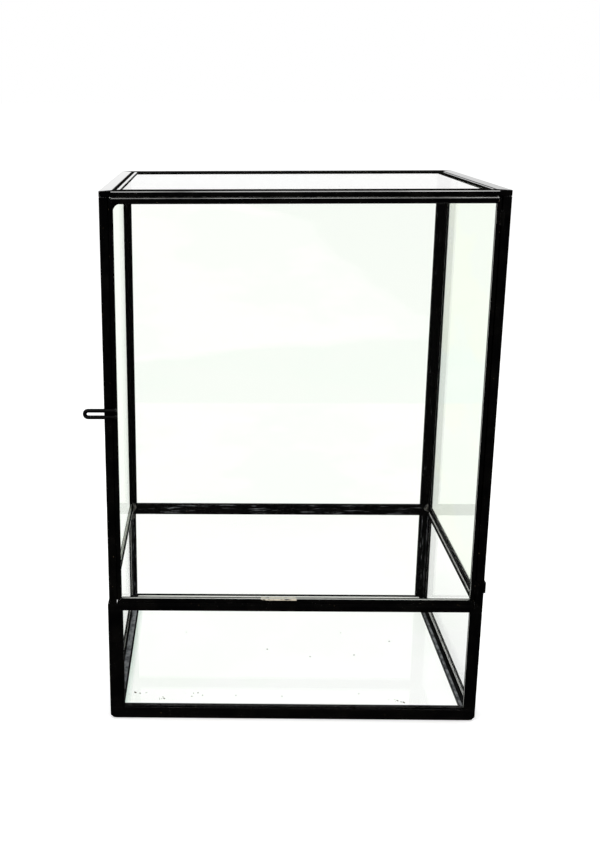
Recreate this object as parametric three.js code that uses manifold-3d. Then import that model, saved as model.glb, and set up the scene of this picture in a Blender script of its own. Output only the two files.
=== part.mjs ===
import * as THREE from 'three';
import { mergeVertices } from 'three/addons/utils/BufferGeometryUtils.js';
import Module from 'manifold-3d';

// Overall size, in millimetres: X runs left to right, Y front to back, Z up
const width = 200;
const depth = 141;
const height = 288;
const trayHeight = 72.5;
const upperInset = 0.8;

// Glass panes
const paneThickness = 1.5;
const paneClearance = 0.1;
const paneEdgeGap = 0.2;

// Folded metal channel round the panes, and the solder film between two lengths of it
const wall = 0.6;
const faceWidth = 7.2;
const cornerFaces = { front_left: 8, front_right: 6.5, back_left: 5.2, back_right: 8 };
const roofFace = 6;
const frontPostFace = 4.2;
const rimHeight = 3.5;
const sillHeight = 3.5;
const seam = 0.1;

// Base rail, whose lower corners are rubbed round
const baseHeight = 7;
const floorDrop = 2.8;
const baseEdgeRise = 2.4;
const baseEdgeStep = 0.5;
const baseEdgeTuck = 0.9;
const baseEdgeStepTuck = 0.25;
const baseCornerReach = 4;
const baseCornerStepReach = 1.8;

// Door
const doorSillHeight = 1;
const doorGap = 0.35;
const doorTopGap = 0.6;
const hingeGap = 0.6;
const doorChannelFace = 2.2;

// Pull, a flattened loop of wire
const wireRadius = 1.05;
const loopOuterHeight = 5.6;
const loopReach = 10;
const loopStandoff = 0.45;
const loopStub = 0.1;
const loopDrop = 1.4;

// Hinges, each two knuckles on a headed pin
const knuckleRadius = 1.1;
const knuckleLength = 2.9;
const knuckleGap = 0.2;
const pinRadius = 0.55;
const pinClearance = 0.07;
const pinHeadRadius = 0.9;
const pinHeadHeight = 0.4;
const leafThickness = 0.6;
const leafWrap = 5;
const leafInset = 0.4;
const hingeEndGap = 6.8;

// Counts for the round pieces
const wireSides = 12;
const wireSteps = 70;
const roundSides = 32;

// Sizes and levels that follow
const slot = paneThickness + 2 * paneClearance;
const came = slot + 2 * wall;
const tray = { left: 0, right: width, front: 0, back: depth };
const cabinet = { left: upperInset, right: width, front: 0, back: depth };
const rimBottom = trayHeight - sillHeight - seam - rimHeight;
const sillBottom = trayHeight - sillHeight;
const roofBottom = height - came;
const floorFlangeTop = floorDrop + came;
const doorBottom = sillBottom + doorSillHeight + doorGap;
const doorTop = roofBottom - doorTopGap;
const doorLeft = cabinet.left + frontPostFace + doorGap;
const doorRight = width - frontPostFace - hingeGap;
const hingeX = doorRight + hingeGap / 2;
const hingeY = -(seam + knuckleRadius);
const hingeHeight = 2 * knuckleLength + knuckleGap;
const loopY = -(wireRadius + loopStandoff);
const loopHalfHeight = loopOuterHeight / 2 - wireRadius;
const loopLevel = (doorBottom + doorTop) / 2 - loopDrop;

// Finishes
const metal = new THREE.MeshStandardMaterial({ color: 0x0b0b0c, roughness: 0.28, metalness: 0.7 });
const glass = new THREE.MeshStandardMaterial({
  color: 0xeef8f1,
  roughness: 0.05,
  metalness: 0,
  transparent: true,
  opacity: 0.3,
});

const terrarium = new THREE.Group();

function addPiece(name, geometry, material, parent = terrarium) {
  const mesh = new THREE.Mesh(geometry, material);
  mesh.name = name;
  parent.add(mesh);
  return mesh;
}

const wasm = await Module();
wasm.setup();

// Joining of closed meshes
function toSolid(geometry) {
  const bare = geometry.clone();
  bare.deleteAttribute('normal');
  bare.deleteAttribute('uv');
  const merged = mergeVertices(bare);
  const vertProperties = new Float32Array(merged.attributes.position.array);
  const triVerts = new Uint32Array(merged.index.array);
  return new wasm.Manifold(new wasm.Mesh({ numProp: 3, vertProperties, triVerts }));
}

function toGeometry(solid) {
  const { vertProperties, triVerts } = solid.getMesh();
  const geometry = new THREE.BufferGeometry();
  geometry.setAttribute('position', new THREE.BufferAttribute(new Float32Array(vertProperties), 3));
  geometry.setIndex(new THREE.BufferAttribute(new Uint32Array(triVerts), 1));
  geometry.computeVertexNormals();
  return geometry;
}

function joined(geometries) {
  const solids = geometries.map(toSolid);
  return toGeometry(solids.reduce((whole, next) => whole.add(next)));
}

// A block between two corners
function block(low, high) {
  const [w, d, h] = high.map((value, axis) => value - low[axis]);
  const geometry = new THREE.BoxGeometry(w, d, h);
  geometry.translate(...high.map((value, axis) => (value + low[axis]) / 2));
  return geometry;
}

function outline(points) {
  return new THREE.Shape(points.map(([x, y]) => new THREE.Vector2(x, y)));
}

// Sections of the channels: the first number runs inward from the outer face, the second up
const roofSection = [
  [0, 0], [roofFace, 0], [roofFace, wall], [wall, wall],
  [wall, wall + slot], [roofFace, wall + slot], [roofFace, came], [0, came],
];

const sillSection = [
  [0, 0], [came, 0], [came, sillHeight], [wall + slot, sillHeight],
  [wall + slot, wall], [wall, wall], [wall, sillHeight], [0, sillHeight],
];

const rimSection = [
  [0, 0], [wall, 0], [wall, rimHeight - wall], [wall + slot, rimHeight - wall],
  [wall + slot, 0], [came, 0], [came, rimHeight], [0, rimHeight],
];

const doorSection = [
  [0, 0], [doorChannelFace, 0], [doorChannelFace, wall], [wall, wall],
  [wall, wall + slot], [doorChannelFace, wall + slot], [doorChannelFace, came], [0, came],
];

const baseSection = [
  [baseEdgeTuck, 0], [came, 0], [came, floorDrop], [faceWidth, floorDrop],
  [faceWidth, floorDrop + wall], [came, floorDrop + wall],
  [came, floorDrop + wall + slot], [faceWidth, floorDrop + wall + slot],
  [faceWidth, floorFlangeTop], [came, floorFlangeTop],
  [came, baseHeight], [wall + slot, baseHeight],
  [wall + slot, floorDrop + wall], [wall, floorDrop + wall],
  [wall, baseHeight], [0, baseHeight],
  [0, baseEdgeRise], [baseEdgeStepTuck, baseEdgeStep],
];

// How far an end is cut back at a point of the section
const squareEnd = () => 0;
const mitredEnd = (inward) => inward + seam / 2;

function roundedMitredEnd(inward, up) {
  const mitre = mitredEnd(inward);
  if (up >= baseEdgeRise) {
    return mitre;
  }
  if (up >= baseEdgeStep) {
    const left = (baseEdgeRise - up) / (baseEdgeRise - baseEdgeStep);
    return Math.max(mitre, baseCornerStepReach * left);
  }
  const left = (baseEdgeStep - up) / baseEdgeStep;
  return Math.max(mitre, baseCornerStepReach + (baseCornerReach - baseCornerStepReach) * left);
}

// One length of channel along X, with its inside towards +Y
function railGeometry(section, length, startCut, endCut) {
  const geometry = new THREE.ExtrudeGeometry(outline(section), { depth: length, bevelEnabled: false });
  const position = geometry.attributes.position;
  for (let i = 0; i < position.count; i += 1) {
    const inward = position.getX(i);
    const up = position.getY(i);
    const atStart = position.getZ(i) < length / 2;
    const along = atStart ? startCut(inward, up) : length - endCut(inward, up);
    position.setXYZ(i, along, inward, up);
  }
  geometry.computeVertexNormals();
  return geometry;
}

// Side of a rectangular frame: 0 front, 1 right, 2 back, 3 left, each a quarter turn further round
const sideNames = ['front', 'right', 'back', 'left'];

function frameSide(name, parent, frame, side, section, startCut = mitredEnd, endCut = mitredEnd) {
  const corners = [
    [frame.left, frame.front],
    [frame.right, frame.front],
    [frame.right, frame.back],
    [frame.left, frame.back],
  ];
  const [x, y] = corners[side];
  const length = side % 2 === 0 ? frame.right - frame.left : frame.back - frame.front;
  const rail = addPiece(name, railGeometry(section, length, startCut, endCut), metal, parent);
  rail.position.set(x, y, 0);
  rail.rotation.z = (side * Math.PI) / 2;
  return rail;
}

function level(z) {
  const group = new THREE.Group();
  group.position.z = z;
  terrarium.add(group);
  return group;
}

// Base, tray rim and roof frames, each mitred at four corners
const baseLevel = level(0);
const rimLevel = level(rimBottom);
const roofLevel = level(roofBottom);
sideNames.forEach((sideName, side) => {
  frameSide(`base_rail_${sideName}`, baseLevel, tray, side, baseSection, roundedMitredEnd, roundedMitredEnd);
  frameSide(`tray_rim_${sideName}`, rimLevel, tray, side, rimSection);
  frameSide(`roof_rail_${sideName}`, roofLevel, cabinet, side, roofSection);
});

// Sill round the back and sides of the upper part, open at the front where the posts stand
const sillFrame = { ...cabinet, front: faceWidth + seam };
const sillLevel = level(sillBottom);
frameSide('sill_right', sillLevel, sillFrame, 1, sillSection, squareEnd, mitredEnd);
frameSide('sill_back', sillLevel, sillFrame, 2, sillSection);
frameSide('sill_left', sillLevel, sillFrame, 3, sillSection, mitredEnd, squareEnd);

// Strip under the door
addPiece('door_sill', block(
  [cabinet.left + frontPostFace + seam, 0, sillBottom],
  [width - frontPostFace - seam, came, sillBottom + doorSillHeight],
), metal);

// Posts: a channel across the face of each corner, one on its side behind it, and one beside the door
const legStart = came + seam;
const faceLegSection = (face) => [
  [0, 0], [face, 0], [face, wall], [wall, wall],
  [wall, wall + slot], [face, wall + slot], [face, came], [0, came],
];

const sideLegSection = [
  [0, legStart], [came, legStart], [came, faceWidth], [wall + slot, faceWidth],
  [wall + slot, legStart + wall], [wall, legStart + wall], [wall, faceWidth], [0, faceWidth],
];

const doorPostSection = [
  [0, 0], [frontPostFace, 0], [frontPostFace, wall], [came, wall],
  [came, faceWidth], [wall + slot, faceWidth], [wall + slot, wall],
  [wall, wall], [wall, faceWidth], [0, faceWidth],
];

function addPost(name, section, frame, isRight, isBack, bottom, top) {
  const points = section.map(([across, along]) => [
    isRight ? frame.right - across : frame.left + across,
    isBack ? frame.back - along : frame.front + along,
  ]);
  const geometry = new THREE.ExtrudeGeometry(outline(points), { depth: top - bottom, bevelEnabled: false });
  addPiece(name, geometry, metal).position.z = bottom;
}

function addCorner(prefix, frame, isRight, isBack, bottom, top) {
  const corner = `${isBack ? 'back' : 'front'}_${isRight ? 'right' : 'left'}`;
  const faceLeg = faceLegSection(cornerFaces[corner]);
  addPost(`${prefix}_${corner}`, faceLeg, frame, isRight, isBack, bottom, top);
  addPost(`${prefix}_${corner}_side`, sideLegSection, frame, isRight, isBack, bottom, top);
}

for (const isRight of [false, true]) {
  addCorner('tray_post', tray, isRight, false, baseHeight + seam, rimBottom - seam);
  addCorner('tray_post', tray, isRight, true, baseHeight + seam, rimBottom - seam);
  addCorner('upper_post', cabinet, isRight, true, trayHeight + seam, roofBottom - seam);
  const doorPost = `upper_post_front_${isRight ? 'right' : 'left'}`;
  addPost(doorPost, doorPostSection, cabinet, isRight, false, sillBottom, roofBottom - seam);
}

// Panes that stand in the channels
const paneFace = wall + paneClearance;
const paneBack = paneFace + paneThickness;
const paneLip = wall + paneEdgeGap;
const sidePaneEnd = legStart + paneLip;
const floorPaneEnd = came + paneEdgeGap;
const trayPaneBottom = floorDrop + paneLip;
const trayPaneTop = rimBottom + rimHeight - paneLip;
const upperPaneBottom = sillBottom + paneLip;
const upperPaneTop = roofBottom - paneEdgeGap;

function addWallPanes(prefix, frame, bottom, top, frontEnd, hasFront) {
  const panes = {
    back: [
      [frame.left + paneLip, frame.back - paneBack, bottom],
      [frame.right - paneLip, frame.back - paneFace, top],
    ],
    left: [
      [frame.left + paneFace, frame.front + frontEnd, bottom],
      [frame.left + paneBack, frame.back - sidePaneEnd, top],
    ],
    right: [
      [frame.right - paneBack, frame.front + frontEnd, bottom],
      [frame.right - paneFace, frame.back - sidePaneEnd, top],
    ],
  };
  if (hasFront) {
    panes.front = [
      [frame.left + paneLip, frame.front + paneFace, bottom],
      [frame.right - paneLip, frame.front + paneBack, top],
    ];
  }
  for (const [sideName, [low, high]] of Object.entries(panes)) {
    addPiece(`${prefix}_pane_${sideName}`, block(low, high), glass);
  }
}

addWallPanes('tray', tray, trayPaneBottom, trayPaneTop, sidePaneEnd, true);
addWallPanes('upper', cabinet, upperPaneBottom, upperPaneTop, paneLip, false);

// Panes that lie in the channels
addPiece('floor_pane', block(
  [tray.left + floorPaneEnd, tray.front + floorPaneEnd, floorDrop + paneFace],
  [tray.right - floorPaneEnd, tray.back - floorPaneEnd, floorDrop + paneBack],
), glass);

addPiece('roof_pane', block(
  [cabinet.left + paneLip, cabinet.front + paneLip, roofBottom + paneFace],
  [cabinet.right - paneLip, cabinet.back - paneLip, roofBottom + paneBack],
), glass);

// Door: a pane in a mitred channel, drawn flat and then stood up with its face at the front
const doorStand = new THREE.Group();
doorStand.position.set(0, came, 0);
doorStand.rotation.x = Math.PI / 2;
terrarium.add(doorStand);
const doorFrame = { left: doorLeft, right: doorRight, front: doorBottom, back: doorTop };
const doorSideNames = ['bottom', 'right', 'top', 'left'];
doorSideNames.forEach((sideName, side) => {
  frameSide(`door_channel_${sideName}`, doorStand, doorFrame, side, doorSection);
});

addPiece('door_pane', block(
  [doorLeft + paneLip, paneFace, doorBottom + paneLip],
  [doorRight - paneLip, paneBack, doorTop - paneLip],
), glass);

// An arc from one point to another about a centre, turning from one direction to a second
class Arc3 extends THREE.Curve {
  constructor(center, from, to, turn) {
    super();
    this.center = center;
    this.from = from;
    this.to = to;
    this.turn = turn;
  }

  getPoint(t, target = new THREE.Vector3()) {
    const angle = t * this.turn;
    return target.copy(this.center)
      .addScaledVector(this.from, Math.cos(angle))
      .addScaledVector(this.to, Math.sin(angle));
  }
}

// Pull: two legs rise from the door's left channel, pass over the post and meet in a round end
function pullPath() {
  const rootX = doorLeft + doorChannelFace / 2;
  const bend = -loopY - seam - loopStub;
  const straightX = rootX - bend;
  const tipX = -loopReach + wireRadius + loopHalfHeight;
  const top = loopLevel + loopHalfHeight;
  const bottom = loopLevel - loopHalfHeight;
  const at = (x, y, z) => new THREE.Vector3(x, y, z);
  const path = new THREE.CurvePath();
  path.add(new THREE.LineCurve3(at(rootX, -seam, top), at(rootX, -seam - loopStub, top)));
  path.add(new Arc3(at(straightX, -seam - loopStub, top), at(bend, 0, 0), at(0, -bend, 0), Math.PI / 2));
  path.add(new THREE.LineCurve3(at(straightX, loopY, top), at(tipX, loopY, top)));
  const rise = loopHalfHeight;
  path.add(new Arc3(at(tipX, loopY, loopLevel), at(0, 0, rise), at(-rise, 0, 0), Math.PI));
  path.add(new THREE.LineCurve3(at(tipX, loopY, bottom), at(straightX, loopY, bottom)));
  path.add(new Arc3(at(straightX, -seam - loopStub, bottom), at(0, -bend, 0), at(bend, 0, 0), Math.PI / 2));
  path.add(new THREE.LineCurve3(at(rootX, -seam - loopStub, bottom), at(rootX, -seam, bottom)));
  return path;
}

function disc(radius, sides) {
  const turns = Array.from({ length: sides }, (_, i) => (i * 2 * Math.PI) / sides);
  return turns.map((angle) => [radius * Math.cos(angle), radius * Math.sin(angle)]);
}

addPiece('pull_loop', new THREE.ExtrudeGeometry(outline(disc(wireRadius, wireSides)), {
  steps: wireSteps,
  bevelEnabled: false,
  extrudePath: pullPath(),
}), metal);

// Hinges: the fixed leaf lies on the right post, and the lower one wraps it; the other leaf lies on the door
function knuckle(bottom) {
  const ring = outline(disc(knuckleRadius, roundSides));
  ring.holes.push(outline(disc(pinRadius + pinClearance, roundSides)));
  const geometry = new THREE.ExtrudeGeometry(ring, { depth: knuckleLength, bevelEnabled: false });
  geometry.translate(hingeX, hingeY, bottom);
  return geometry;
}

function addHinge(prefix, bottom, isWrapped) {
  const leafFront = -(seam + leafThickness);
  const leafRoot = (knuckleRadius + pinRadius + pinClearance) / 2;
  const leafStart = knuckleRadius + knuckleGap;
  const top = bottom + hingeHeight;
  const middle = bottom + knuckleLength;
  const wrapFace = width + seam;
  const leafEnd = isWrapped ? wrapFace + leafThickness : width - leafInset;
  const fixedLeaf = [
    knuckle(bottom),
    block([hingeX + leafRoot, leafFront, bottom], [hingeX + leafStart + wall, -seam, middle]),
    block([hingeX + leafStart, leafFront, bottom], [leafEnd, -seam, top]),
  ];
  if (isWrapped) {
    fixedLeaf.push(block([wrapFace, leafFront, bottom], [leafEnd, leafWrap, top]));
  }
  addPiece(`${prefix}_fixed_leaf`, joined(fixedLeaf), metal);
  addPiece(`${prefix}_door_leaf`, joined([
    knuckle(middle + knuckleGap),
    block([hingeX - leafStart - wall, leafFront, middle + knuckleGap], [hingeX - leafRoot, -seam, top]),
    block([doorRight - doorChannelFace, leafFront, bottom], [hingeX - leafStart, -seam, top]),
  ]), metal);
  const headBottom = bottom - knuckleGap - pinHeadHeight;
  const headTop = top + knuckleGap + pinHeadHeight;
  const profile = [
    [0, headBottom], [pinHeadRadius, headBottom], [pinHeadRadius, bottom - knuckleGap],
    [pinRadius, bottom - knuckleGap], [pinRadius, top + knuckleGap],
    [pinHeadRadius, top + knuckleGap], [pinHeadRadius, headTop], [0, headTop],
  ];
  const pin = new THREE.LatheGeometry(profile.map(([r, z]) => new THREE.Vector2(r, z)), roundSides);
  pin.rotateX(Math.PI / 2);
  pin.translate(hingeX, hingeY, 0);
  addPiece(`${prefix}_pin`, pin, metal);
}

addHinge('lower_hinge', doorBottom + hingeEndGap, true);
addHinge('upper_hinge', doorTop - hingeEndGap - hingeHeight, false);

// The origin is under the middle of everything, pull and hinges included
const reachLeft = loopReach;
const reachRight = width + seam + leafThickness;
const reachFront = Math.max(wireRadius - loopY, knuckleRadius - hingeY);
terrarium.position.set((reachLeft - reachRight) / 2, (reachFront - depth) / 2, 0);

export default terrarium;
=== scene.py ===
import math
import random

import bmesh
import bpy
from mathutils import Matrix, Vector, noise


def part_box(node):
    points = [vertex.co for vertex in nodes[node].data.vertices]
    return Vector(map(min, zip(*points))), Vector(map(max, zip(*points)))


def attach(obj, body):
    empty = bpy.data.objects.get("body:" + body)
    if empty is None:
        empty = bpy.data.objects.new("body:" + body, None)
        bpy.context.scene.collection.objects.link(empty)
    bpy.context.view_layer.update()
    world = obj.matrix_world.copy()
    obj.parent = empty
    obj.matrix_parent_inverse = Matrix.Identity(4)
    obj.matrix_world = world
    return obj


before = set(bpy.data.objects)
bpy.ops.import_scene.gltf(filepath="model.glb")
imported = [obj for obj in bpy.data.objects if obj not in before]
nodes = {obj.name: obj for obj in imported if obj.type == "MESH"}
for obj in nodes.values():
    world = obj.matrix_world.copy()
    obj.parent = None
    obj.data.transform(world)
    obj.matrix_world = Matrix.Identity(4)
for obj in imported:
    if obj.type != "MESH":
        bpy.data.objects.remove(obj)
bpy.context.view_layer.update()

MM = 0.001

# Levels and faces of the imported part, in metres
FRAME_LEFT, FRAME_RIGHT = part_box("tray_rim_front")[0].x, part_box("tray_rim_front")[1].x
FRAME_FRONT, FRAME_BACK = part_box("tray_rim_left")[0].y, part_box("tray_rim_left")[1].y
CABINET_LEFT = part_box("roof_rail_left")[0].x
ROOF_BOTTOM, ROOF_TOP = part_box("roof_rail_left")[0].z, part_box("roof_rail_left")[1].z
SILL_BOTTOM, SILL_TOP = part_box("sill_back")[0].z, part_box("sill_back")[1].z
BASE_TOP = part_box("base_rail_front")[1].z
FLOOR_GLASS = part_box("floor_pane")[1].z
ROOF_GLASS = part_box("roof_pane")[1].z
DOOR_LOW, DOOR_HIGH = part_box("door_channel_left")[0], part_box("door_channel_right")[1]
DOOR_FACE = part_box("door_channel_left")[1].x - DOOR_LOW.x

# Driving dimensions of the channels, and how far paint and wear reach over their edges
WALL = 0.6 * MM
CAME = 2.9 * MM
FLANGE = 7.2 * MM
SLOT_BACK = CAME - WALL
SLOT_MARGIN = 0.04 * MM
SHELL_SKIN = 0.5 * MM
INNER_SKIN = CAME - 0.1 * MM
FOOT_MARGIN = 0.2 * MM
EDGE_BAND = 0.25 * MM
SEAM_BAND = 0.55 * MM
OVER = 1.0 * MM

# Driving dimensions of the trim
ROOF_FLANGE = 6.0 * MM
BEAD_FROM, BEAD_TO = 8.1 * MM, 9.8 * MM
BEAD_UNEVENNESS = 0.10 * MM
GROOVE_DEPTH = 0.28 * MM
ROUND_OFF = 0.12 * MM
LIFT = 0.03 * MM
STOP_FROM, STOP_TO = 3.05 * MM, 3.65 * MM
SOLDER_FROM, SOLDER_TO = 0.04 * MM, 0.64 * MM
SOLDER_DROP = 0.6 * MM
SOLDER_LAP = 0.1 * MM
FILLET_LAP = 0.2 * MM
STRIP_EDGE, SOLDER_EDGE = 0.12 * MM, 0.2 * MM
LUMP_MARGIN, TOP_MARGIN = 0.05 * MM, 0.02 * MM
LUMP_UNEVENNESS = 0.34
EDGE_WIDTH, DOOR_EDGE_WIDTH, PANE_EDGE_WIDTH = 0.22 * MM, 0.28 * MM, 0.12 * MM


def at(x, y, z):
    """A place given in millimetres from the front left corner of the base."""
    return Vector((FRAME_LEFT + x * MM, FRAME_FRONT + y * MM, z * MM))


# Colours
LACQUER_DARK = (0.0006, 0.0006, 0.0007, 1)
LACQUER_WARM = (0.0024, 0.0022, 0.0019, 1)
BRONZE = (0.20, 0.15, 0.09, 1)
RUBBED_BRIGHT = (0.66, 0.59, 0.47, 1)
PEWTER = (0.17, 0.175, 0.185, 1)
CAME_DULL = (0.055, 0.056, 0.060, 1)
# Near-white of bare metal, partly a painted reflection of its sheen, and a painted highlight on the side
# seams
BARE_AND_SHEEN = (0.95, 0.945, 0.92, 1)
# Painted highlight along rounded edges
HIGHLIGHT_PAINT = (0.75, 0.75, 0.74, 1)
PUTTY_DARK, PUTTY_PALE = (0.002, 0.002, 0.002, 1), (0.008, 0.008, 0.007, 1)
SOLDER_DARK, SOLDER_PALE = (0.004, 0.004, 0.004, 1), (0.13, 0.125, 0.11, 1)
# The top stop's pale grain is a painted highlight seen in the slit above the door
HIGHLIGHT_STOP_DARK, HIGHLIGHT_STOP_PALE = (0.10, 0.10, 0.095, 1), (0.42, 0.41, 0.38, 1)
SOIL_DARK, SOIL_PALE = (0.03, 0.022, 0.012, 1), (0.16, 0.12, 0.06, 1)
SHADOW_TINT = (0.985, 0.995, 0.988, 1)
CLEAR_TINT, CLEAR_FILM = (0.984, 0.998, 0.976, 1), (0.997, 0.999, 0.984, 1)
LEFT_TINT, LEFT_FILM = (0.937, 0.992, 0.927, 1), (0.948, 0.992, 0.934, 1)
BACK_TINT, BACK_HAZE = (0.962, 0.996, 0.957, 1), (0.928, 0.968, 0.924, 1)
RIGHT_TINT, RIGHT_FILM = (0.938, 0.994, 0.888, 1), (0.920, 0.972, 0.905, 1)
RIGHT_HAZE = (0.905, 0.975, 0.915, 1)
TRAY_TINT, TRAY_FILM = (0.980, 1.0, 0.975, 1), (0.992, 1.0, 0.989, 1)
# Painted reflection of the left base rail on the floor pane
FLOOR_RAIL_REFLECTION = (0.58, 0.68, 0.62, 1)

# Finish: how glossy the lacquer is, how rough each layer over it, and how strongly a pane mirrors
LACQUER_SPECULAR, GLOSS_SPECULAR, DULL_SPECULAR = 0.06, 0.5, 0.005
GLOSS_SMOOTH, DULL_SMOOTH = 0.45, 3.0
WEAR_AND_HIGHLIGHT_ROUGH, SCUFFED_ROUGH, BARE_ROUGH = 0.5, 0.55, 0.6
NO_GRAIN = (1.0, 1.0, 1.0)
SCRATCH_STRETCH = 0.06
GLASS_IOR, LEFT_IOR, RIGHT_IOR, TRAY_RIGHT_IOR = 1.25, 1.01, 1.12, 1.08
GLASS_SPECULAR = 0.3
HAZE_SWAY = 90 * MM

# How fine each pattern is, in features a metre
BLOTCH_SCALE, DRIFT_SCALE, WORN_SCALE, FINE_SCALE = 95.0, 240.0, 420.0, 1400.0
RAGGED_SCALE, MOTTLE_SCALE, RUN_SCALE = 700.0, 900.0, 260.0
CLOUD_SCALE, WISP_SCALE, RIPPLE_SCALE = 9.0, 42.0, 26.0


class Nodes:
    """A short way to write a material's node tree."""

    def __init__(self, tree):
        self.tree = tree
        tree.nodes.clear()

    def add(self, kind, **inputs):
        node = self.tree.nodes.new(kind)
        for key, value in inputs.items():
            self.set(node, key.replace("_", " "), value)
        return node

    def set(self, node, key, value):
        socket = node.inputs[int(key)] if key.isdigit() else node.inputs[key]
        if isinstance(value, bpy.types.NodeSocket):
            self.tree.links.new(value, socket)
        else:
            socket.default_value = value

    def math(self, operation, first, second=0.0):
        node = self.tree.nodes.new("ShaderNodeMath")
        node.operation = operation
        self.set(node, "0", first)
        self.set(node, "1", second)
        return node.outputs[0]

    def dot(self, first, second):
        node = self.tree.nodes.new("ShaderNodeVectorMath")
        node.operation = "DOT_PRODUCT"
        self.set(node, "0", first)
        self.set(node, "1", second)
        return node.outputs["Value"]

    def within(self, value, low, high):
        above, below = self.math("GREATER_THAN", value, low), self.math("LESS_THAN", value, high)
        return self.math("MULTIPLY", above, below)

    def in_box(self, split, low, high):
        mask = 1.0
        for axis in range(3):
            inside = self.within(split.outputs[axis], low[axis], high[axis])
            mask = self.math("MULTIPLY", mask, inside)
        return mask

    def noise(self, coordinates, scale, detail, roughness):
        settings = {"Vector": coordinates, "Scale": scale, "Detail": detail, "Roughness": roughness}
        return self.add("ShaderNodeTexNoise", **settings).outputs["Fac"]

    def stretched(self, coordinates, scale):
        return self.add("ShaderNodeMapping", Vector=coordinates, Scale=scale).outputs[0]

    def remap(self, value, low, high, start=0.0, end=1.0):
        node = self.tree.nodes.new("ShaderNodeMapRange")
        node.clamp = True
        limits = {"Value": value, "From Min": low, "From Max": high, "To Min": start, "To Max": end}
        for key, number in limits.items():
            self.set(node, key, number)
        return node.outputs["Result"]

    def mix_color(self, factor, first, second):
        node = self.tree.nodes.new("ShaderNodeMix")
        node.data_type = "RGBA"
        self.set(node, "0", factor)
        self.set(node, "6", first)
        self.set(node, "7", second)
        return node.outputs[2]

    def mix_shader(self, factor, first, second):
        sockets = {"0": factor, "1": first.outputs[0], "2": second.outputs[0]}
        return self.add("ShaderNodeMixShader", **sockets)

    def bump(self, height, strength, distance):
        node = self.add("ShaderNodeBump", Height=height, Strength=strength, Distance=distance)
        return node.outputs["Normal"]

    def lay_over(self, layer, mask, colour, rough):
        """Another colour over a layer (colour, roughness) where mask is 1, at least that rough there."""
        mixed = self.mix_color(mask, layer[0], colour)
        return mixed, self.math("MAXIMUM", layer[1], self.math("MULTIPLY", mask, rough))


def new_material(name):
    material = bpy.data.materials.new(name)
    material.use_nodes = True
    return material, Nodes(material.node_tree)


def lacquer(name, wear, pale=(), bare=None, patch=None, highlights=(), grain=NO_GRAIN,
            specular=LACQUER_SPECULAR, smooth=1.0, coat=0.0):
    """Glossy black lacquer brushed over soldered metal, worn through to bronze.

    pale lists boxes, each (low, high), painted near-white: where the metal was never painted, in a colour
    that partly stands in for its reflection, and painted highlights.
    bare is (low, high, cover): in that box the lacquer is scuffed back to dull pewter over that share,
    in scratches that grain stretches along the length.
    patch is (low, high): a box where the edge is rubbed down to bronze.
    highlights lists boxes, each (low, high), where an arris along X gets a painted highlight here and
    there, stronger towards the right.
    """
    material, n = new_material(name)
    place = n.add("ShaderNodeTexCoord").outputs["Object"]
    split = n.add("ShaderNodeSeparateXYZ", Vector=place)
    blotch = n.noise(place, BLOTCH_SCALE, 5.0, 0.6)
    fine = n.noise(place, FINE_SCALE, 3.0, 0.6)
    drift = n.noise(place, DRIFT_SCALE, 4.0, 0.5)
    worn = n.noise(place, WORN_SCALE, 6.0, 0.72)
    chips = n.remap(worn, 0.70 - 0.12 * wear, 0.735 - 0.12 * wear)
    colour = n.mix_color(n.remap(blotch, 0.42, 0.68), LACQUER_DARK, LACQUER_WARM)
    colour = n.mix_color(chips, colour, BRONZE)
    layer = colour, n.remap(blotch, 0.3, 0.75, 0.10 * smooth, 0.26 * smooth)
    if patch is not None:
        ragged = n.noise(n.stretched(place, (0.4, 1.0, 1.0)), RAGGED_SCALE, 5.0, 0.65)
        wear_and_highlight = n.math("MULTIPLY", n.in_box(split, *patch), n.remap(ragged, 0.42, 0.50))
        layer = n.lay_over(layer, wear_and_highlight, RUBBED_BRIGHT, WEAR_AND_HIGHLIGHT_ROUGH)
    if bare is not None:
        low, high, cover = bare
        mottle = n.noise(n.stretched(place, grain), MOTTLE_SCALE, 6.0, 0.62)
        scuffed = n.remap(mottle, 0.66 - 0.34 * cover, 0.72 - 0.32 * cover)
        scuffed = n.math("MULTIPLY", n.in_box(split, low, high), scuffed)
        dull = n.mix_color(n.remap(drift, 0.40, 0.60), CAME_DULL, PEWTER)
        layer = n.lay_over(layer, scuffed, dull, SCUFFED_ROUGH)
    # Painted highlights along arrises, made stronger towards the right
    for low, high in highlights:
        run = n.noise(n.stretched(place, (0.10, 1.0, 1.0)), RUN_SCALE, 4.0, 0.6)
        wear_and_highlight = n.math("MULTIPLY", n.in_box(split, low, high), n.remap(run, 0.30, 0.56, 0.30, 1.0))
        across = n.remap(split.outputs[0], FRAME_LEFT, FRAME_RIGHT, 0.55, 1.0)
        layer = n.lay_over(layer, n.math("MULTIPLY", wear_and_highlight, across), HIGHLIGHT_PAINT, WEAR_AND_HIGHLIGHT_ROUGH)
    # Near-white boxes: bare metal whose colour is partly a painted reflection, and painted highlights on
    # seams
    for low, high in pale:
        layer = n.lay_over(layer, n.in_box(split, low, high), BARE_AND_SHEEN, BARE_ROUGH)
    colour, roughness = layer
    relief = n.math("ADD", drift, n.math("MULTIPLY", fine, 0.25))
    normal = n.bump(relief, 0.18 * smooth, 0.10 * MM)
    metal = n.math("MULTIPLY", chips, 0.6)
    shader = n.add("ShaderNodeBsdfPrincipled", Base_Color=colour, Roughness=roughness, Metallic=metal,
                   Normal=normal)
    shader.inputs["Specular IOR Level"].default_value = specular
    shader.inputs["Coat Weight"].default_value = coat
    n.add("ShaderNodeOutputMaterial", Surface=shader.outputs[0])
    return material


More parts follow.
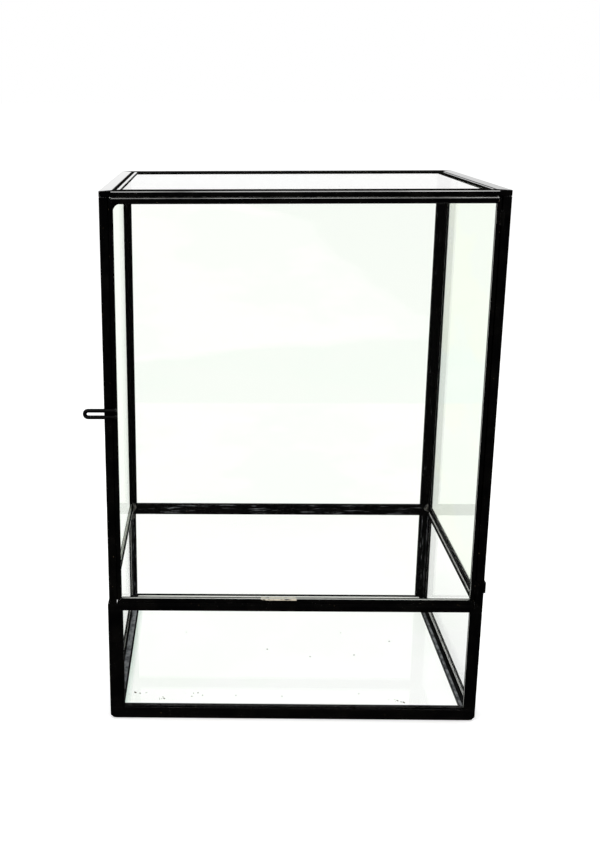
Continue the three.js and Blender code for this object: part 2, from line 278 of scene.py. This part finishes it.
def glass(name, tint, film_tint, patches=(), patch_tint=None, coat=0.0, ior=GLASS_IOR):
    """Float glass with a faint green cast that drifts in broad clouds; lamps shine through it.

    patches have patch_tint instead. Each is a list of straight rims: a place on the rim, the way inward,
    how soft the rim is, and the share by which it follows the clouds.
    """
    material, n = new_material(name)
    place = n.add("ShaderNodeTexCoord").outputs["Object"]
    wide = n.stretched(place, (1.0, 1.0, 2.3))
    cloud = n.noise(wide, CLOUD_SCALE, 3.0, 0.5)
    wisp = n.noise(wide, WISP_SCALE, 4.0, 0.6)
    film = n.math("ADD", n.math("MULTIPLY", cloud, 0.8), n.math("MULTIPLY", wisp, 0.2))
    colour = n.mix_color(n.remap(film, 0.45, 0.52), tint, film_tint)
    drift = n.math("MULTIPLY", n.math("SUBTRACT", film, 0.5), HAZE_SWAY)
    for rims in patches:
        cover = 1.0
        for spot, inward, blur, follows in rims:
            level = n.math("SUBTRACT", n.dot(place, inward), Vector(inward).dot(spot))
            level = n.math("ADD", level, n.math("MULTIPLY", drift, follows))
            cover = n.math("MULTIPLY", cover, n.remap(level, -blur, blur))
        colour = n.mix_color(cover, colour, patch_tint)
    ripple = n.bump(n.noise(place, RIPPLE_SCALE, 1.0, 0.4), 0.01, 0.5 * MM)
    shader = n.add("ShaderNodeBsdfPrincipled", Base_Color=colour, Roughness=0.0, Normal=ripple)
    shader.inputs["Transmission Weight"].default_value = 1.0
    shader.inputs["IOR"].default_value = ior
    shader.inputs["Specular IOR Level"].default_value = GLASS_SPECULAR
    shader.inputs["Coat Weight"].default_value = coat
    clear = n.add("ShaderNodeBsdfTransparent", Color=SHADOW_TINT)
    light = n.add("ShaderNodeLightPath")
    through = n.math("MAXIMUM", light.outputs["Is Shadow Ray"], light.outputs["Is Diffuse Ray"])
    n.add("ShaderNodeOutputMaterial", Surface=n.mix_shader(through, shader, clear).outputs[0])
    return material


def grainy(name, first, second, scale, roughness, specular):
    """A dull material mottled between two colours."""
    material, n = new_material(name)
    place = n.add("ShaderNodeTexCoord").outputs["Object"]
    grain = n.noise(place, scale, 5.0, 0.65)
    colour = n.mix_color(n.remap(grain, 0.38, 0.62), first, second)
    normal = n.bump(grain, 0.35, 0.12 * MM)
    shader = n.add("ShaderNodeBsdfPrincipled", Base_Color=colour, Roughness=roughness, Normal=normal)
    shader.inputs["Specular IOR Level"].default_value = specular
    n.add("ShaderNodeOutputMaterial", Surface=shader.outputs[0])
    return material


# Slots of the channels, by the direction across them: axis, low, high and the shell that stays painted
tray_shell = ((FRAME_LEFT, FRAME_FRONT, 0), (FRAME_RIGHT, FRAME_BACK, 1))
cabinet_shell = ((CABINET_LEFT, FRAME_FRONT, 0), (FRAME_RIGHT, FRAME_BACK, ROOF_TOP))
door_shell = ((DOOR_LOW.x, FRAME_FRONT, DOOR_LOW.z), (DOOR_HIGH.x, FRAME_BACK, DOOR_HIGH.z))
SLOTS = {
    "front": (1, FRAME_FRONT + WALL, FRAME_FRONT + SLOT_BACK, tray_shell),
    "door": (1, FRAME_FRONT + WALL, FRAME_FRONT + SLOT_BACK, door_shell),
    "back": (1, FRAME_BACK - SLOT_BACK, FRAME_BACK - WALL, cabinet_shell),
    "tray_left": (0, FRAME_LEFT + WALL, FRAME_LEFT + SLOT_BACK, tray_shell),
    "left": (0, CABINET_LEFT + WALL, CABINET_LEFT + SLOT_BACK, cabinet_shell),
    "right": (0, FRAME_RIGHT - SLOT_BACK, FRAME_RIGHT - WALL, cabinet_shell),
    "roof": (2, ROOF_BOTTOM + WALL, ROOF_BOTTOM + SLOT_BACK, cabinet_shell),
}
SLOTTED = {
    "front": ("tray_rim_front", "tray_post_front_left", "tray_post_front_right"),
    "door": ("door_channel_bottom", "door_channel_right", "door_channel_top", "door_channel_left"),
    "back": (
        "tray_rim_back", "base_rail_back", "sill_back", "tray_post_back_left", "tray_post_back_right",
        "upper_post_back_left", "upper_post_back_right",
    ),
    "tray_left": (
        "tray_rim_left", "base_rail_left", "tray_post_front_left_side", "tray_post_back_left_side",
    ),
    "left": ("sill_left", "upper_post_front_left"),
    "right": (
        "tray_rim_right", "base_rail_right", "sill_right", "tray_post_front_right_side",
        "tray_post_back_right_side", "upper_post_back_right_side", "upper_post_front_right",
    ),
    "roof": ("roof_rail_front", "roof_rail_right", "roof_rail_back", "roof_rail_left"),
}
SLOT_OF = {name: kind for kind, names in SLOTTED.items() for name in names}


def slot_box(kind):
    axis, slot_low, slot_high, shell = SLOTS[kind]
    low = [value + SHELL_SKIN for value in shell[0]]
    high = [value - SHELL_SKIN for value in shell[1]]
    low[axis] = max(low[axis], slot_low - SLOT_MARGIN)
    high[axis] = min(high[axis], slot_high + SLOT_MARGIN)
    return low, high


def front_box(x_from, x_to, deep, z_from, z_to):
    """A box that holds a front edge, from before the front face to so deep behind it."""
    return (x_from, FRAME_FRONT - OVER, z_from), (x_to, FRAME_FRONT + deep, z_to)


# The faces that look inward are scuffed: the box is the inside of the frame, and each rail has its share
inside_low = Vector((FRAME_LEFT + INNER_SKIN, FRAME_FRONT + INNER_SKIN, FOOT_MARGIN))
inside_high = Vector((FRAME_RIGHT - INNER_SKIN, FRAME_BACK - INNER_SKIN, ROOF_TOP - CAME))
SCUFFED = {
    "base_rail_left": 1.0, "base_rail_right": 1.0, "sill_back": 0.3, "tray_rim_back": 0.3,
    "tray_post_back_left": 0.34, "tray_post_back_left_side": 0.5, "tray_post_back_right": 0.22,
    "tray_post_back_right_side": 0.4, "upper_post_back_right": 0.1, "tray_rim_front": 0.28,
    "door_sill": 0.28,
}
SCUFF_BOX = {
    "base_rail_left": (at(3.5, 5, 0.2), at(6.3, 136, 8)),
    "base_rail_right": (at(192.9, 5, 0.2), at(194.5, 136, 8)),
    "tray_rim_front": (at(114, -1, 67.5), at(123, 0.5, 70)),
    "door_sill": (at(114, -1, 68), at(123, 0.5, 70)),
}

# The top edge under the door is rubbed through near the middle
RUBBED_FROM, RUBBED_TO, RUBBED_DROP = 82 * MM, 101 * MM, 0.75 * MM
rubbed_top = DOOR_LOW.z + DOOR_FACE
RUBBED_NODE = "door_channel_bottom"
rubbed_box = front_box(FRAME_LEFT + RUBBED_FROM, FRAME_LEFT + RUBBED_TO, CAME,
                       rubbed_top - RUBBED_DROP, rubbed_top + OVER)

# Painted highlights along long edges: the roof's upper front edge, the door's upper edge, a bit of the
# base
HIGHLIGHT_END = 6 * MM
BASE_HIGHLIGHT_END = 46 * MM
highlight_left, highlight_right = CABINET_LEFT + HIGHLIGHT_END, FRAME_RIGHT - HIGHLIGHT_END
PAINTED_HIGHLIGHTS = {
    "roof_rail_front": [
        front_box(highlight_left, highlight_right, 0.5 * MM, ROOF_TOP - 0.62 * MM, ROOF_TOP - 0.20 * MM),
    ],
    "door_channel_top": [
        front_box(highlight_left, highlight_right, 0.9 * MM, DOOR_HIGH.z - 0.16 * MM, DOOR_HIGH.z + OVER),
    ],
    "base_rail_front": [(
        (FRAME_LEFT + CAME, FRAME_FRONT + 1.4 * MM, BASE_TOP - 0.3 * MM),
        (FRAME_LEFT + BASE_HIGHLIGHT_END, FRAME_FRONT + 1.9 * MM, BASE_TOP + OVER),
    )],
}

# The back base rail is bare inside below its edge, and so is a strip of the right base rail, in a
# near-white that is partly a painted reflection; a painted highlight runs along the side rails' middle
# seam
back_bare_sheen = (
    (inside_low.x, FRAME_BACK - FLANGE - EDGE_BAND, FLOOR_GLASS),
    (inside_high.x, FRAME_BACK - INNER_SKIN, BASE_TOP - EDGE_BAND),
)
seam_highlight = (
    (FRAME_LEFT + INNER_SKIN, FRAME_FRONT + FLANGE, SILL_BOTTOM - SEAM_BAND),
    (FRAME_RIGHT - INNER_SKIN, FRAME_BACK - FLANGE, SILL_BOTTOM + SEAM_BAND),
)
right_wall_bare_sheen = (at(196.9, 8, 5.75), at(197.8, 133, 8))
BARE_AND_LIT_PLACES = {
    "base_rail_back": [back_bare_sheen], "base_rail_right": [right_wall_bare_sheen],
    "sill_right": [seam_highlight], "tray_rim_right": [seam_highlight],
    "sill_left": [seam_highlight], "tray_rim_left": [seam_highlight],
}

# Where a pane looks denser: a level band across the back, a cloud at its upper right, the same band
# on the right pane; and on the floor pane a painted reflection of the left rail, in a strip beside it
LEVEL_RIM = (at(0, 0, 141.5), (0, 0, 1), 0.9 * MM, 0.0)
BACK_PATCHES = (
    (LEVEL_RIM, (at(16, 0, 168.5), (0.10, 0, -1), 2.5 * MM, 0.5)),
    ((at(91, 0, 267.5), (0.62, 0, 0.78), 4.0 * MM, 1.0), LEVEL_RIM),
)
RIGHT_PATCHES = ((
    (at(0, 58.6, 164.9), (0, 0.29, 1), 0.9 * MM, 0.0),
    (at(0, 66.5, 193.6), (0, -0.235, -1), 3.0 * MM, 0.5),
),)
FLOOR_REFLECTION_PATCHES = (((at(8.8, 0, 0), (-1, 0, 0), 1.9 * MM, 0.0),),)
clear_glass = glass("clear_glass", CLEAR_TINT, CLEAR_FILM)
tray_glass = glass("tray_glass", TRAY_TINT, TRAY_FILM)
GLASS_OF = {
    "upper_pane_left": glass("left_glass", LEFT_TINT, LEFT_FILM, ior=LEFT_IOR),
    "upper_pane_right": glass("right_glass", RIGHT_TINT, RIGHT_FILM, RIGHT_PATCHES, RIGHT_HAZE,
                              ior=RIGHT_IOR),
    "upper_pane_back": glass("back_glass", BACK_TINT, CLEAR_FILM, BACK_PATCHES, BACK_HAZE),
    "tray_pane_front": tray_glass,
    "tray_pane_back": tray_glass,
    "tray_pane_left": glass("tray_left_glass", TRAY_TINT, TRAY_FILM, ior=LEFT_IOR),
    "tray_pane_right": glass("tray_right_glass", TRAY_TINT, TRAY_FILM, ior=TRAY_RIGHT_IOR),
    # The floor pane carries the painted reflection of the left rail
    "floor_pane": glass("floor_glass", TRAY_TINT, TRAY_FILM, FLOOR_REFLECTION_PATCHES, FLOOR_RAIL_REFLECTION),
    "roof_pane": glass("roof_glass", CLEAR_TINT, CLEAR_FILM, coat=1.0),
}

plain_lacquer = lacquer("lacquer_plain", 0.2)
dull_lacquer = lacquer("lacquer_dull", 0.1, specular=DULL_SPECULAR, smooth=DULL_SMOOTH)
worn_edge = lacquer("lacquer_edge", 0.5)
rubbed_edge = lacquer("lacquer_edge_rubbed", 0.5, patch=rubbed_box)
roof_gloss = lacquer("lacquer_roof_top", 0.1, specular=GLOSS_SPECULAR, smooth=GLOSS_SMOOTH)
roof_thick_gloss = lacquer("lacquer_roof_left", 0.1, specular=GLOSS_SPECULAR, smooth=GLOSS_SMOOTH,
                           coat=1.0)
groove_putty = grainy("putty_black", PUTTY_DARK, PUTTY_PALE, 2600.0, 0.95, 0.0)
solder = grainy("solder_dull", SOLDER_DARK, SOLDER_PALE, 700.0, 0.42, 0.2)
solder_black = lacquer("lacquer_solder", 0.15)
# Pale grain on the top stop: a painted highlight in the slit above the door
stop_highlight = grainy("stop_painted_highlight", HIGHLIGHT_STOP_DARK, HIGHLIGHT_STOP_PALE, 300.0, 0.5, 0.3)
crumb_matter = grainy("crumb_soil", SOIL_DARK, SOIL_PALE, 1500.0, 0.9, 0.1)
TOPS = {
    "roof_rail_front": groove_putty, "roof_rail_back": groove_putty,
    "roof_rail_left": roof_thick_gloss, "roof_rail_right": roof_gloss,
}

# Lengths seen along their inner faces have a dull coat; the door's edges are eased more than the frame's
DULL_ENDS = (
    "_side", "sill_left", "sill_right", "tray_rim_left", "tray_rim_right", "base_rail_left",
    "base_rail_right",
)
EDGE = {"pull_loop": 0.0, **{name: DOOR_EDGE_WIDTH for name in SLOTTED["door"]}}
FLAT_ANGLE, BEVEL_ANGLE = math.radians(0.5), math.radians(35.0)


def ease_edges(node, width, segments):
    """Joins the faces that lie flat together and eases the edges between the others."""
    weld = node.modifiers.new("weld", "WELD")
    weld.merge_threshold = 0.002 * MM
    flat = node.modifiers.new("flat", "DECIMATE")
    flat.decimate_type = "DISSOLVE"
    flat.angle_limit = FLAT_ANGLE
    if width == 0:
        return None
    bevel = node.modifiers.new("edges", "BEVEL")
    bevel.width = width
    bevel.segments = segments
    bevel.limit_method = "ANGLE"
    bevel.angle_limit = BEVEL_ANGLE
    bevel.use_clamp_overlap = True
    bevel.harden_normals = True
    return bevel


def grain_of(name):
    """Scratches run along the length: up a post, from front to back on a side rail, else across."""
    along = 2 if "post" in name else 1 if name.endswith(("left", "right")) else 0
    return tuple(SCRATCH_STRETCH if axis == along else 1.0 for axis in range(3))


def paint(node, *materials):
    node.data.materials.clear()
    for material in materials:
        node.data.materials.append(material)


def shade_top(node, material):
    """The upper face of a roof rail lies open and looks different from its sides."""
    node.data.materials.append(material)
    turn = node.matrix_world.to_3x3()
    for polygon in node.data.polygons:
        upward = (turn @ polygon.normal).z > 0.9
        if upward and (node.matrix_world @ polygon.center).z > ROOF_TOP - EDGE_BAND:
            polygon.material_index = len(node.data.materials) - 1


def dress_metal(name, node):
    pale = BARE_AND_LIT_PLACES.get(name, [])
    if name in SLOT_OF:
        pale = [slot_box(SLOT_OF[name])] + pale
    bare = None
    if name in SCUFFED:
        bare = (*SCUFF_BOX.get(name, (inside_low, inside_high)), SCUFFED[name])
    patch = rubbed_box if name == RUBBED_NODE else None
    highlights = PAINTED_HIGHLIGHTS.get(name, [])
    worn = {"pale": pale, "bare": bare, "patch": patch, "grain": grain_of(name)}
    if name.endswith(DULL_ENDS):
        coat = lacquer("lacquer_" + name, 0.1, specular=DULL_SPECULAR, smooth=DULL_SMOOTH, **worn)
        edge_material = dull_lacquer
    else:
        coat = lacquer("lacquer_" + name, 0.2, highlights=highlights, **worn)
        edge_material = rubbed_edge if name == RUBBED_NODE else worn_edge
        # Edges with painted highlights get their own copy of the edge lacquer
        if highlights:
            edge_material = lacquer("lacquer_edge_" + name, 0.5, highlights=highlights)
    paint(node, coat, edge_material)
    if name in TOPS:
        shade_top(node, TOPS[name])
    bevel = ease_edges(node, EDGE.get(name, EDGE_WIDTH), 2)
    if bevel is not None:
        bevel.material = 1


for name, node in nodes.items():
    if "pane" in name:
        paint(node, GLASS_OF.get(name, clear_glass))
        ease_edges(node, PANE_EDGE_WIDTH, 1)
    else:
        dress_metal(name, node)


# Pieces that the CAD leaves to the scene
def add_piece(name, mesh, material, body, smooth=False):
    obj = bpy.data.objects.new(name, mesh)
    bpy.context.scene.collection.objects.link(obj)
    mesh.materials.append(material)
    if smooth:
        mesh.polygons.foreach_set("use_smooth", [True] * len(mesh.polygons))
    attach(obj, body)


def mesh_from(name, verts, faces):
    mesh = bpy.data.meshes.new(name)
    mesh.from_pydata(verts, [], faces)
    mesh.update()
    return mesh


def mesh_of(name, bm):
    """The mesh that a finished edit holds."""
    mesh = bpy.data.meshes.new(name)
    bm.to_mesh(mesh)
    bm.free()
    return mesh


NO_SHIFT, Y_SHIFT = Vector((0, 0, 0)), Vector((7, 3, 1))


def wobble(point, scale, amount, shift=NO_SHIFT):
    return noise.noise(Vector(point) * scale + shift) * amount


def roof_ring(name, profile, crown, crowned, unevenness=0.0, steps=28):
    """A strip of putty that runs round the roof; profile points are (inward, height), closed.

    crown is the material of its top on the crowned side, counted from the front by way of the right.
    """
    low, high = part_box("roof_rail_left")[0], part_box("roof_rail_right")[1]
    corners = (
        (low.x, low.y, 1, 1), (high.x, low.y, -1, 1), (high.x, high.y, -1, -1), (low.x, high.y, 1, -1),
    )
    verts = []
    for side in range(4):
        start, end = corners[side], corners[(side + 1) % 4]
        for step in range(steps):
            for inward, height in profile:
                first = Vector((start[0] + start[2] * inward, start[1] + start[3] * inward, height))
                last = Vector((end[0] + end[2] * inward, end[1] + end[3] * inward, height))
                point = first.lerp(last, step / steps)
                drift_x = wobble(point, 160, unevenness)
                drift_y = wobble(point, 170, unevenness, Y_SHIFT)
                verts.append(point + Vector((drift_x, drift_y, 0)))
    count, size = 4 * steps, len(profile)
    faces = []
    for i in range(count):
        here, there = i * size, ((i + 1) % count) * size
        for j in range(size):
            nearby = (j + 1) % size
            faces.append((here + j, there + j, there + nearby, here + nearby))
    mesh = mesh_from(name, verts, faces)
    add_piece(name, mesh, groove_putty, "frame")
    mesh.materials.append(crown)
    for polygon in mesh.polygons:
        on_side = polygon.index // (steps * size) == crowned
        polygon.material_index = 1 if on_side and polygon.normal.z > 0.9 else 0


def strip(name, low, high, material, body, edge=STRIP_EDGE):
    """A straight bar between two corners, with its edges eased."""
    bm = bmesh.new()
    bmesh.ops.create_cube(bm, size=1.0)
    middle, span = (low + high) / 2, high - low
    for v in bm.verts:
        v.co = Vector([middle[i] + v.co[i] * span[i] for i in range(3)])
    bmesh.ops.bevel(bm, geom=bm.edges[:], offset=edge, segments=2, affect="EDGES", profile=0.5)
    add_piece(name, mesh_of(name, bm), material, body)


def fillet(name, corner, side, drop, radius, front, back, steps=9):
    """Solder that fills a corner of the door with a hollow curve; side and drop say which way it runs."""
    rim = []
    for step in range(steps + 1):
        angle = step / steps * math.pi / 2
        rim.append((radius * (1 - math.sin(angle)), radius * (1 - math.cos(angle))))
    outline = [(0.0, 0.0)] + rim
    verts = []
    for y in (front, back):
        for along, down in outline:
            rough = 1 + wobble((along, down, corner.z), 900, 0.12)
            verts.append((corner.x + side * along * rough, y, corner.z + drop * down * rough))
    size = len(outline)
    faces = [tuple(range(size)), tuple(range(2 * size - 1, size - 1, -1))]
    for i in range(size):
        j = (i + 1) % size
        faces.append((i, i + size, j + size, j))
    mesh = mesh_from(name, verts, faces)
    bm = bmesh.new()
    bm.from_mesh(mesh)
    bmesh.ops.recalc_face_normals(bm, faces=bm.faces[:])
    bm.to_mesh(mesh)
    bm.free()
    add_piece(name, mesh, solder_black, "door")


def lump(name, centre, radii, material, shift, limit_low, limit_high):
    """A lump of solder: a round mass with a lumpy skin, kept between two corners."""
    bm = bmesh.new()
    bmesh.ops.create_icosphere(bm, subdivisions=3, radius=1.0)
    for v in bm.verts:
        swell = 1 + noise.noise(v.co * 1.7 + Vector((shift, 0, 0))) * LUMP_UNEVENNESS * 2
        point = centre + Vector([v.co[i] * radii[i] * swell * MM for i in range(3)])
        v.co = Vector([min(max(point[i], limit_low[i]), limit_high[i]) for i in range(3)])
    add_piece(name, mesh_of(name, bm), material, "frame", smooth=True)


# Roof: a low strip laid on the pane inside the flange, with a dark groove between
RIGHT_SIDE, LEFT_SIDE = 1, 3
pane_level = ROOF_GLASS + LIFT
bead_crown = ROOF_TOP - LIFT
groove_crown = ROOF_TOP - GROOVE_DEPTH
BEAD_PROFILE = [
    (BEAD_FROM, pane_level), (BEAD_FROM, bead_crown - ROUND_OFF), (BEAD_FROM + ROUND_OFF, bead_crown),
    (BEAD_TO - ROUND_OFF, bead_crown), (BEAD_TO, bead_crown - ROUND_OFF), (BEAD_TO, pane_level),
]
GROOVE_PROFILE = [
    (ROOF_FLANGE - ROUND_OFF, pane_level), (ROOF_FLANGE - ROUND_OFF, groove_crown),
    (BEAD_FROM + ROUND_OFF, groove_crown), (BEAD_FROM + ROUND_OFF, pane_level),
]
roof_ring("roof_bead", BEAD_PROFILE, roof_thick_gloss, LEFT_SIDE, BEAD_UNEVENNESS)
roof_ring("roof_groove_putty", GROOVE_PROFILE, roof_gloss, RIGHT_SIDE)

# Stops that close the slits beside and above the door: from, to, under, over in millimetres, and
# material; the top stop's pale grey is a painted highlight in the slit above the door
STOPS = {
    "door_stop_left": (2.9, 5.9, SILL_BOTTOM + 1.2 * MM, ROOF_BOTTOM - 0.15 * MM, plain_lacquer),
    "door_stop_right": (194.3, 197.1, SILL_BOTTOM + 1.2 * MM, ROOF_BOTTOM - 0.15 * MM, plain_lacquer),
    "door_stop_top": (6.1, 194.1, ROOF_BOTTOM - 1.9 * MM, ROOF_BOTTOM - 0.1 * MM, stop_highlight),
}
for name, (x_from, x_to, z_from, z_to, material) in STOPS.items():
    stop_low = Vector((FRAME_LEFT + x_from * MM, FRAME_FRONT + STOP_FROM, z_from))
    stop_high = Vector((FRAME_LEFT + x_to * MM, FRAME_FRONT + STOP_TO, z_to))
    strip(name, stop_low, stop_high, material, "frame")

# Solder that runs along under the top channel of the door, and in the corners of the door's opening
solder_front, solder_back = FRAME_FRONT + SOLDER_FROM, FRAME_FRONT + SOLDER_TO
open_left, open_right = DOOR_LOW.x + DOOR_FACE, DOOR_HIGH.x - DOOR_FACE
open_low, open_high = DOOR_LOW.z + DOOR_FACE, DOOR_HIGH.z - DOOR_FACE
solder_low = Vector((open_left - SOLDER_LAP, solder_front, open_high - SOLDER_DROP))
solder_high = Vector((open_right + SOLDER_LAP, solder_back, open_high + SOLDER_LAP))
strip("solder_door_top", solder_low, solder_high, solder_black, "door", SOLDER_EDGE)
DOOR_OPENING = {
    "top_left": (open_left, open_high, 1, -1, 5.4),
    "top_right": (open_right, open_high, -1, -1, 1.8),
    "bottom_left": (open_left, open_low, 1, 1, 1.0),
    "bottom_right": (open_right, open_low, -1, 1, 1.3),
}
for name, (x, z, side, drop, radius) in DOOR_OPENING.items():
    corner = Vector((x - side * FILLET_LAP, 0, z - drop * FILLET_LAP))
    fillet("solder_door_" + name, corner, side, drop, radius * MM, solder_front, solder_back)

# Lumps of solder where the lengths of channel meet inside: place, radii in millimetres, material
sill_middle = (SILL_BOTTOM + SILL_TOP) / 2 / MM
LUMPS = {
    "roof_back_right": (at(191.5, 132.5, 287.0), (5.0, 3.6, 1.6), groove_putty),
    "roof_back_left": (at(3.6, 138.6, 286.9), (2.4, 1.6, 1.3), solder_black),
    "mid_back_left": (at(3.6, 137.4, sill_middle), (1.6, 1.2, 2.4), solder),
    "mid_back_right": (at(196.3, 137.4, sill_middle), (1.7, 1.2, 2.4), solder),
    "mid_back_left_low": (at(3.4, 137.5, sill_middle - 6), (0.9, 0.9, 2.6), solder),
    "base_back_left": (at(3.6, 136.8, 6.6), (1.9, 1.8, 1.2), solder_black),
    "base_back_right": (at(196.3, 136.8, 6.6), (1.9, 1.8, 1.2), solder_black),
    "base_front_left": (at(3.6, 4.2, 6.4), (1.6, 1.6, 1.2), solder_black),
    "base_front_right": (at(196.3, 4.4, 6.6), (2.0, 1.8, 1.3), solder_black),
}
LUMP_SHIFT = 3.7
lumps_low = Vector((FRAME_LEFT + LUMP_MARGIN, FRAME_FRONT + LUMP_MARGIN, FOOT_MARGIN))
lumps_high = Vector((FRAME_RIGHT - LUMP_MARGIN, FRAME_BACK - LUMP_MARGIN, ROOF_TOP - TOP_MARGIN))
for index, (name, (centre, radii, material)) in enumerate(LUMPS.items()):
    lump("solder_" + name, centre, radii, material, index * LUMP_SHIFT, lumps_low, lumps_high)

# Bits of soil and moss left on the floor pane: how many, round which place and how widely, in millimetres
CRUMB_GROUPS = (
    (6, 28, 13, 2.2, 1.2), (6, 14, 18, 5.5, 1.2), (4, 47, 17, 4.0, 2.0), (6, 158, 12, 6.0, 3.0),
    (12, 100, 60, 75.0, 45.0),
)
CRUMB_SIZES = (0.16, 0.55)
CRUMB_STRETCH = ((0.8, 1.9), (0.6, 1.1), (0.4, 0.7))
CRUMB_LIFT = 0.01 * MM
random.seed(11)


def crumbs(name, groups, level):
    bm = bmesh.new()
    for count, x, y, spread_x, spread_y in groups:
        for _ in range(count):
            size = random.uniform(*CRUMB_SIZES) * MM
            centre = at(x + random.uniform(-1, 1) * spread_x, y + random.uniform(-1, 1) * spread_y, 0)
            centre.z = level + size * 0.45
            turn = Matrix.Rotation(random.uniform(0, math.tau), 3, "Z")
            stretch = Vector([random.uniform(least, most) for least, most in CRUMB_STRETCH])
            made = bmesh.ops.create_icosphere(bm, subdivisions=1, radius=1.0)["verts"]
            for v in made:
                rough = 1 + random.uniform(-0.25, 0.25)
                stretched = Vector([v.co[i] * stretch[i] for i in range(3)])
                v.co = centre + turn @ (stretched * size * rough)
                v.co.z = max(v.co.z, level + CRUMB_LIFT)
    add_piece(name, mesh_of(name, bm), crumb_matter, "frame")


crumbs("crumbs", CRUMB_GROUPS, FLOOR_GLASS)

# Stage: what clear pieces show of the floor is mostly glow, and a share of the lit floor. What glossy
# pieces mirror of it darkens towards the viewer.
FLOOR_SIZE = 45.0
FLOOR_DROP = 0.02 * MM
FLOOR_VALUE = 0.86
FLOOR_LIFT = 0.38
THROUGH_GLOW = 1.10
THROUGH_SHADE = 0.10
SHADE_FRONT, SHADE_BACK = -100 * MM, 150 * MM
SHADE_DARK, SHADE_LIGHT = 0.05, 1.03
WORLD_SEEN, WORLD_SOFT = 1.0, 0.80


def stage_material(name, value):
    """A pale floor, white to the camera and in glossy and clear pieces, that takes a soft shadow."""
    material, n = new_material(name)
    place = n.add("ShaderNodeTexCoord").outputs["Object"]
    light = n.add("ShaderNodeLightPath")
    diffuse = n.add("ShaderNodeBsdfDiffuse", Color=(value, value, value, 1))
    lift = n.add("ShaderNodeEmission", Color=(1, 1, 1, 1), Strength=FLOOR_LIFT)
    white = n.add("ShaderNodeAddShader", **{"0": diffuse.outputs[0], "1": lift.outputs[0]})
    glow = n.add("ShaderNodeEmission", Color=(1, 1, 1, 1), Strength=THROUGH_GLOW)
    through = n.mix_shader(THROUGH_SHADE, glow, diffuse)
    split = n.add("ShaderNodeSeparateXYZ", Vector=place)
    shade = n.remap(split.outputs[1], SHADE_FRONT, SHADE_BACK, SHADE_DARK, SHADE_LIGHT)
    mirrored = n.add("ShaderNodeEmission", Color=(1, 1, 1, 1), Strength=shade)
    direct = n.mix_shader(light.outputs["Is Camera Ray"], diffuse, white)
    plain = n.mix_shader(light.outputs["Is Transmission Ray"], direct, through)
    was_mirrored = n.math("GREATER_THAN", light.outputs["Glossy Depth"], 0.5)
    both = n.mix_shader(was_mirrored, plain, mirrored)
    n.add("ShaderNodeOutputMaterial", Surface=both.outputs[0])
    return material


def floor_sheet():
    size = FLOOR_SIZE
    verts = [(-size, -size, 0), (size, -size, 0), (size, size, 0), (-size, size, 0)]
    mesh = mesh_from("floor", verts, [(0, 1, 2, 3)])
    floor = bpy.data.objects.new("floor", mesh)
    floor.location.z = -FLOOR_DROP
    bpy.context.scene.collection.objects.link(floor)
    mesh.materials.append(stage_material("floor_pale", FLOOR_VALUE))


def studio_world():
    world = bpy.data.worlds.new("studio")
    bpy.context.scene.world = world
    world.use_nodes = True
    n = Nodes(world.node_tree)
    light = n.add("ShaderNodeLightPath")
    clear = n.math("MAXIMUM", light.outputs["Is Camera Ray"], light.outputs["Is Transmission Ray"])
    seen = n.math("MAXIMUM", clear, light.outputs["Is Glossy Ray"])
    white = n.add("ShaderNodeBackground", Color=(1, 1, 1, 1), Strength=WORLD_SEEN)
    soft = n.add("ShaderNodeBackground", Color=(1, 1, 1, 1), Strength=WORLD_SOFT)
    n.add("ShaderNodeOutputWorld", Surface=n.mix_shader(seen, soft, white).outputs[0])


def lamp(name, location, target, size_x, size_y, power, glossy_only):
    data = bpy.data.lights.new(name, "AREA")
    data.shape = "RECTANGLE"
    data.size, data.size_y = size_x, size_y
    data.energy = power
    obj = bpy.data.objects.new(name, data)
    bpy.context.scene.collection.objects.link(obj)
    obj.location = location
    obj.rotation_mode = "QUATERNION"
    obj.rotation_quaternion = (Vector(target) - Vector(location)).to_track_quat("-Z", "Y")
    obj.visible_camera = False
    obj.visible_transmission = False
    obj.visible_diffuse = not glossy_only


# Lamps: place and aim in metres, width and depth, power, and whether only gloss shows it
LAMPS = {
    "key": ((-0.75, -0.55, 1.35), (0, 0, 0.12), 0.9, 0.9, 7.0, False),
    "fill": ((0.95, 0.35, 1.15), (0, 0, 0.12), 0.8, 0.8, 3.5, False),
    "strip": ((0.0, -0.06, 1.30), (0, 0, 0.2), 1.3, 0.30, 30.0, True),
}
floor_sheet()
studio_world()
for name, settings in LAMPS.items():
    lamp(name, *settings)

# Camera: focal length and image centre in pixels, place and directions in the frame's axes
F_PIXELS = 1076.37
IMAGE_W, IMAGE_H = 600, 849
CENTRE_X, CENTRE_Y = 190.0, 385.62
EYE = Vector((-38.11, -595.02, 332.75)) * MM
FORWARD = Vector((-0.02296, 0.96512, -0.26079)).normalized()
RIGHT = Vector((0.99974, 0.02252, -0.00469))
SENSOR = 36.0
CLIP_START, CLIP_END = 0.01, 60.0


def aim_camera():
    data = bpy.data.cameras.new("camera")
    data.sensor_width = SENSOR
    data.lens = F_PIXELS * SENSOR / IMAGE_H
    data.shift_x = (IMAGE_W / 2 - CENTRE_X) / IMAGE_H
    data.shift_y = (CENTRE_Y - IMAGE_H / 2) / IMAGE_H
    data.clip_start, data.clip_end = CLIP_START, CLIP_END
    camera = bpy.data.objects.new("camera", data)
    bpy.context.scene.collection.objects.link(camera)
    right = (RIGHT - FORWARD * RIGHT.dot(FORWARD)).normalized()
    up = right.cross(FORWARD)
    turn = Matrix((right, up, -FORWARD)).transposed().to_4x4()
    camera.matrix_world = Matrix.Translation(EYE) @ turn
    bpy.context.scene.camera = camera


aim_camera()
bpy.context.scene.view_settings.view_transform = "Standard"
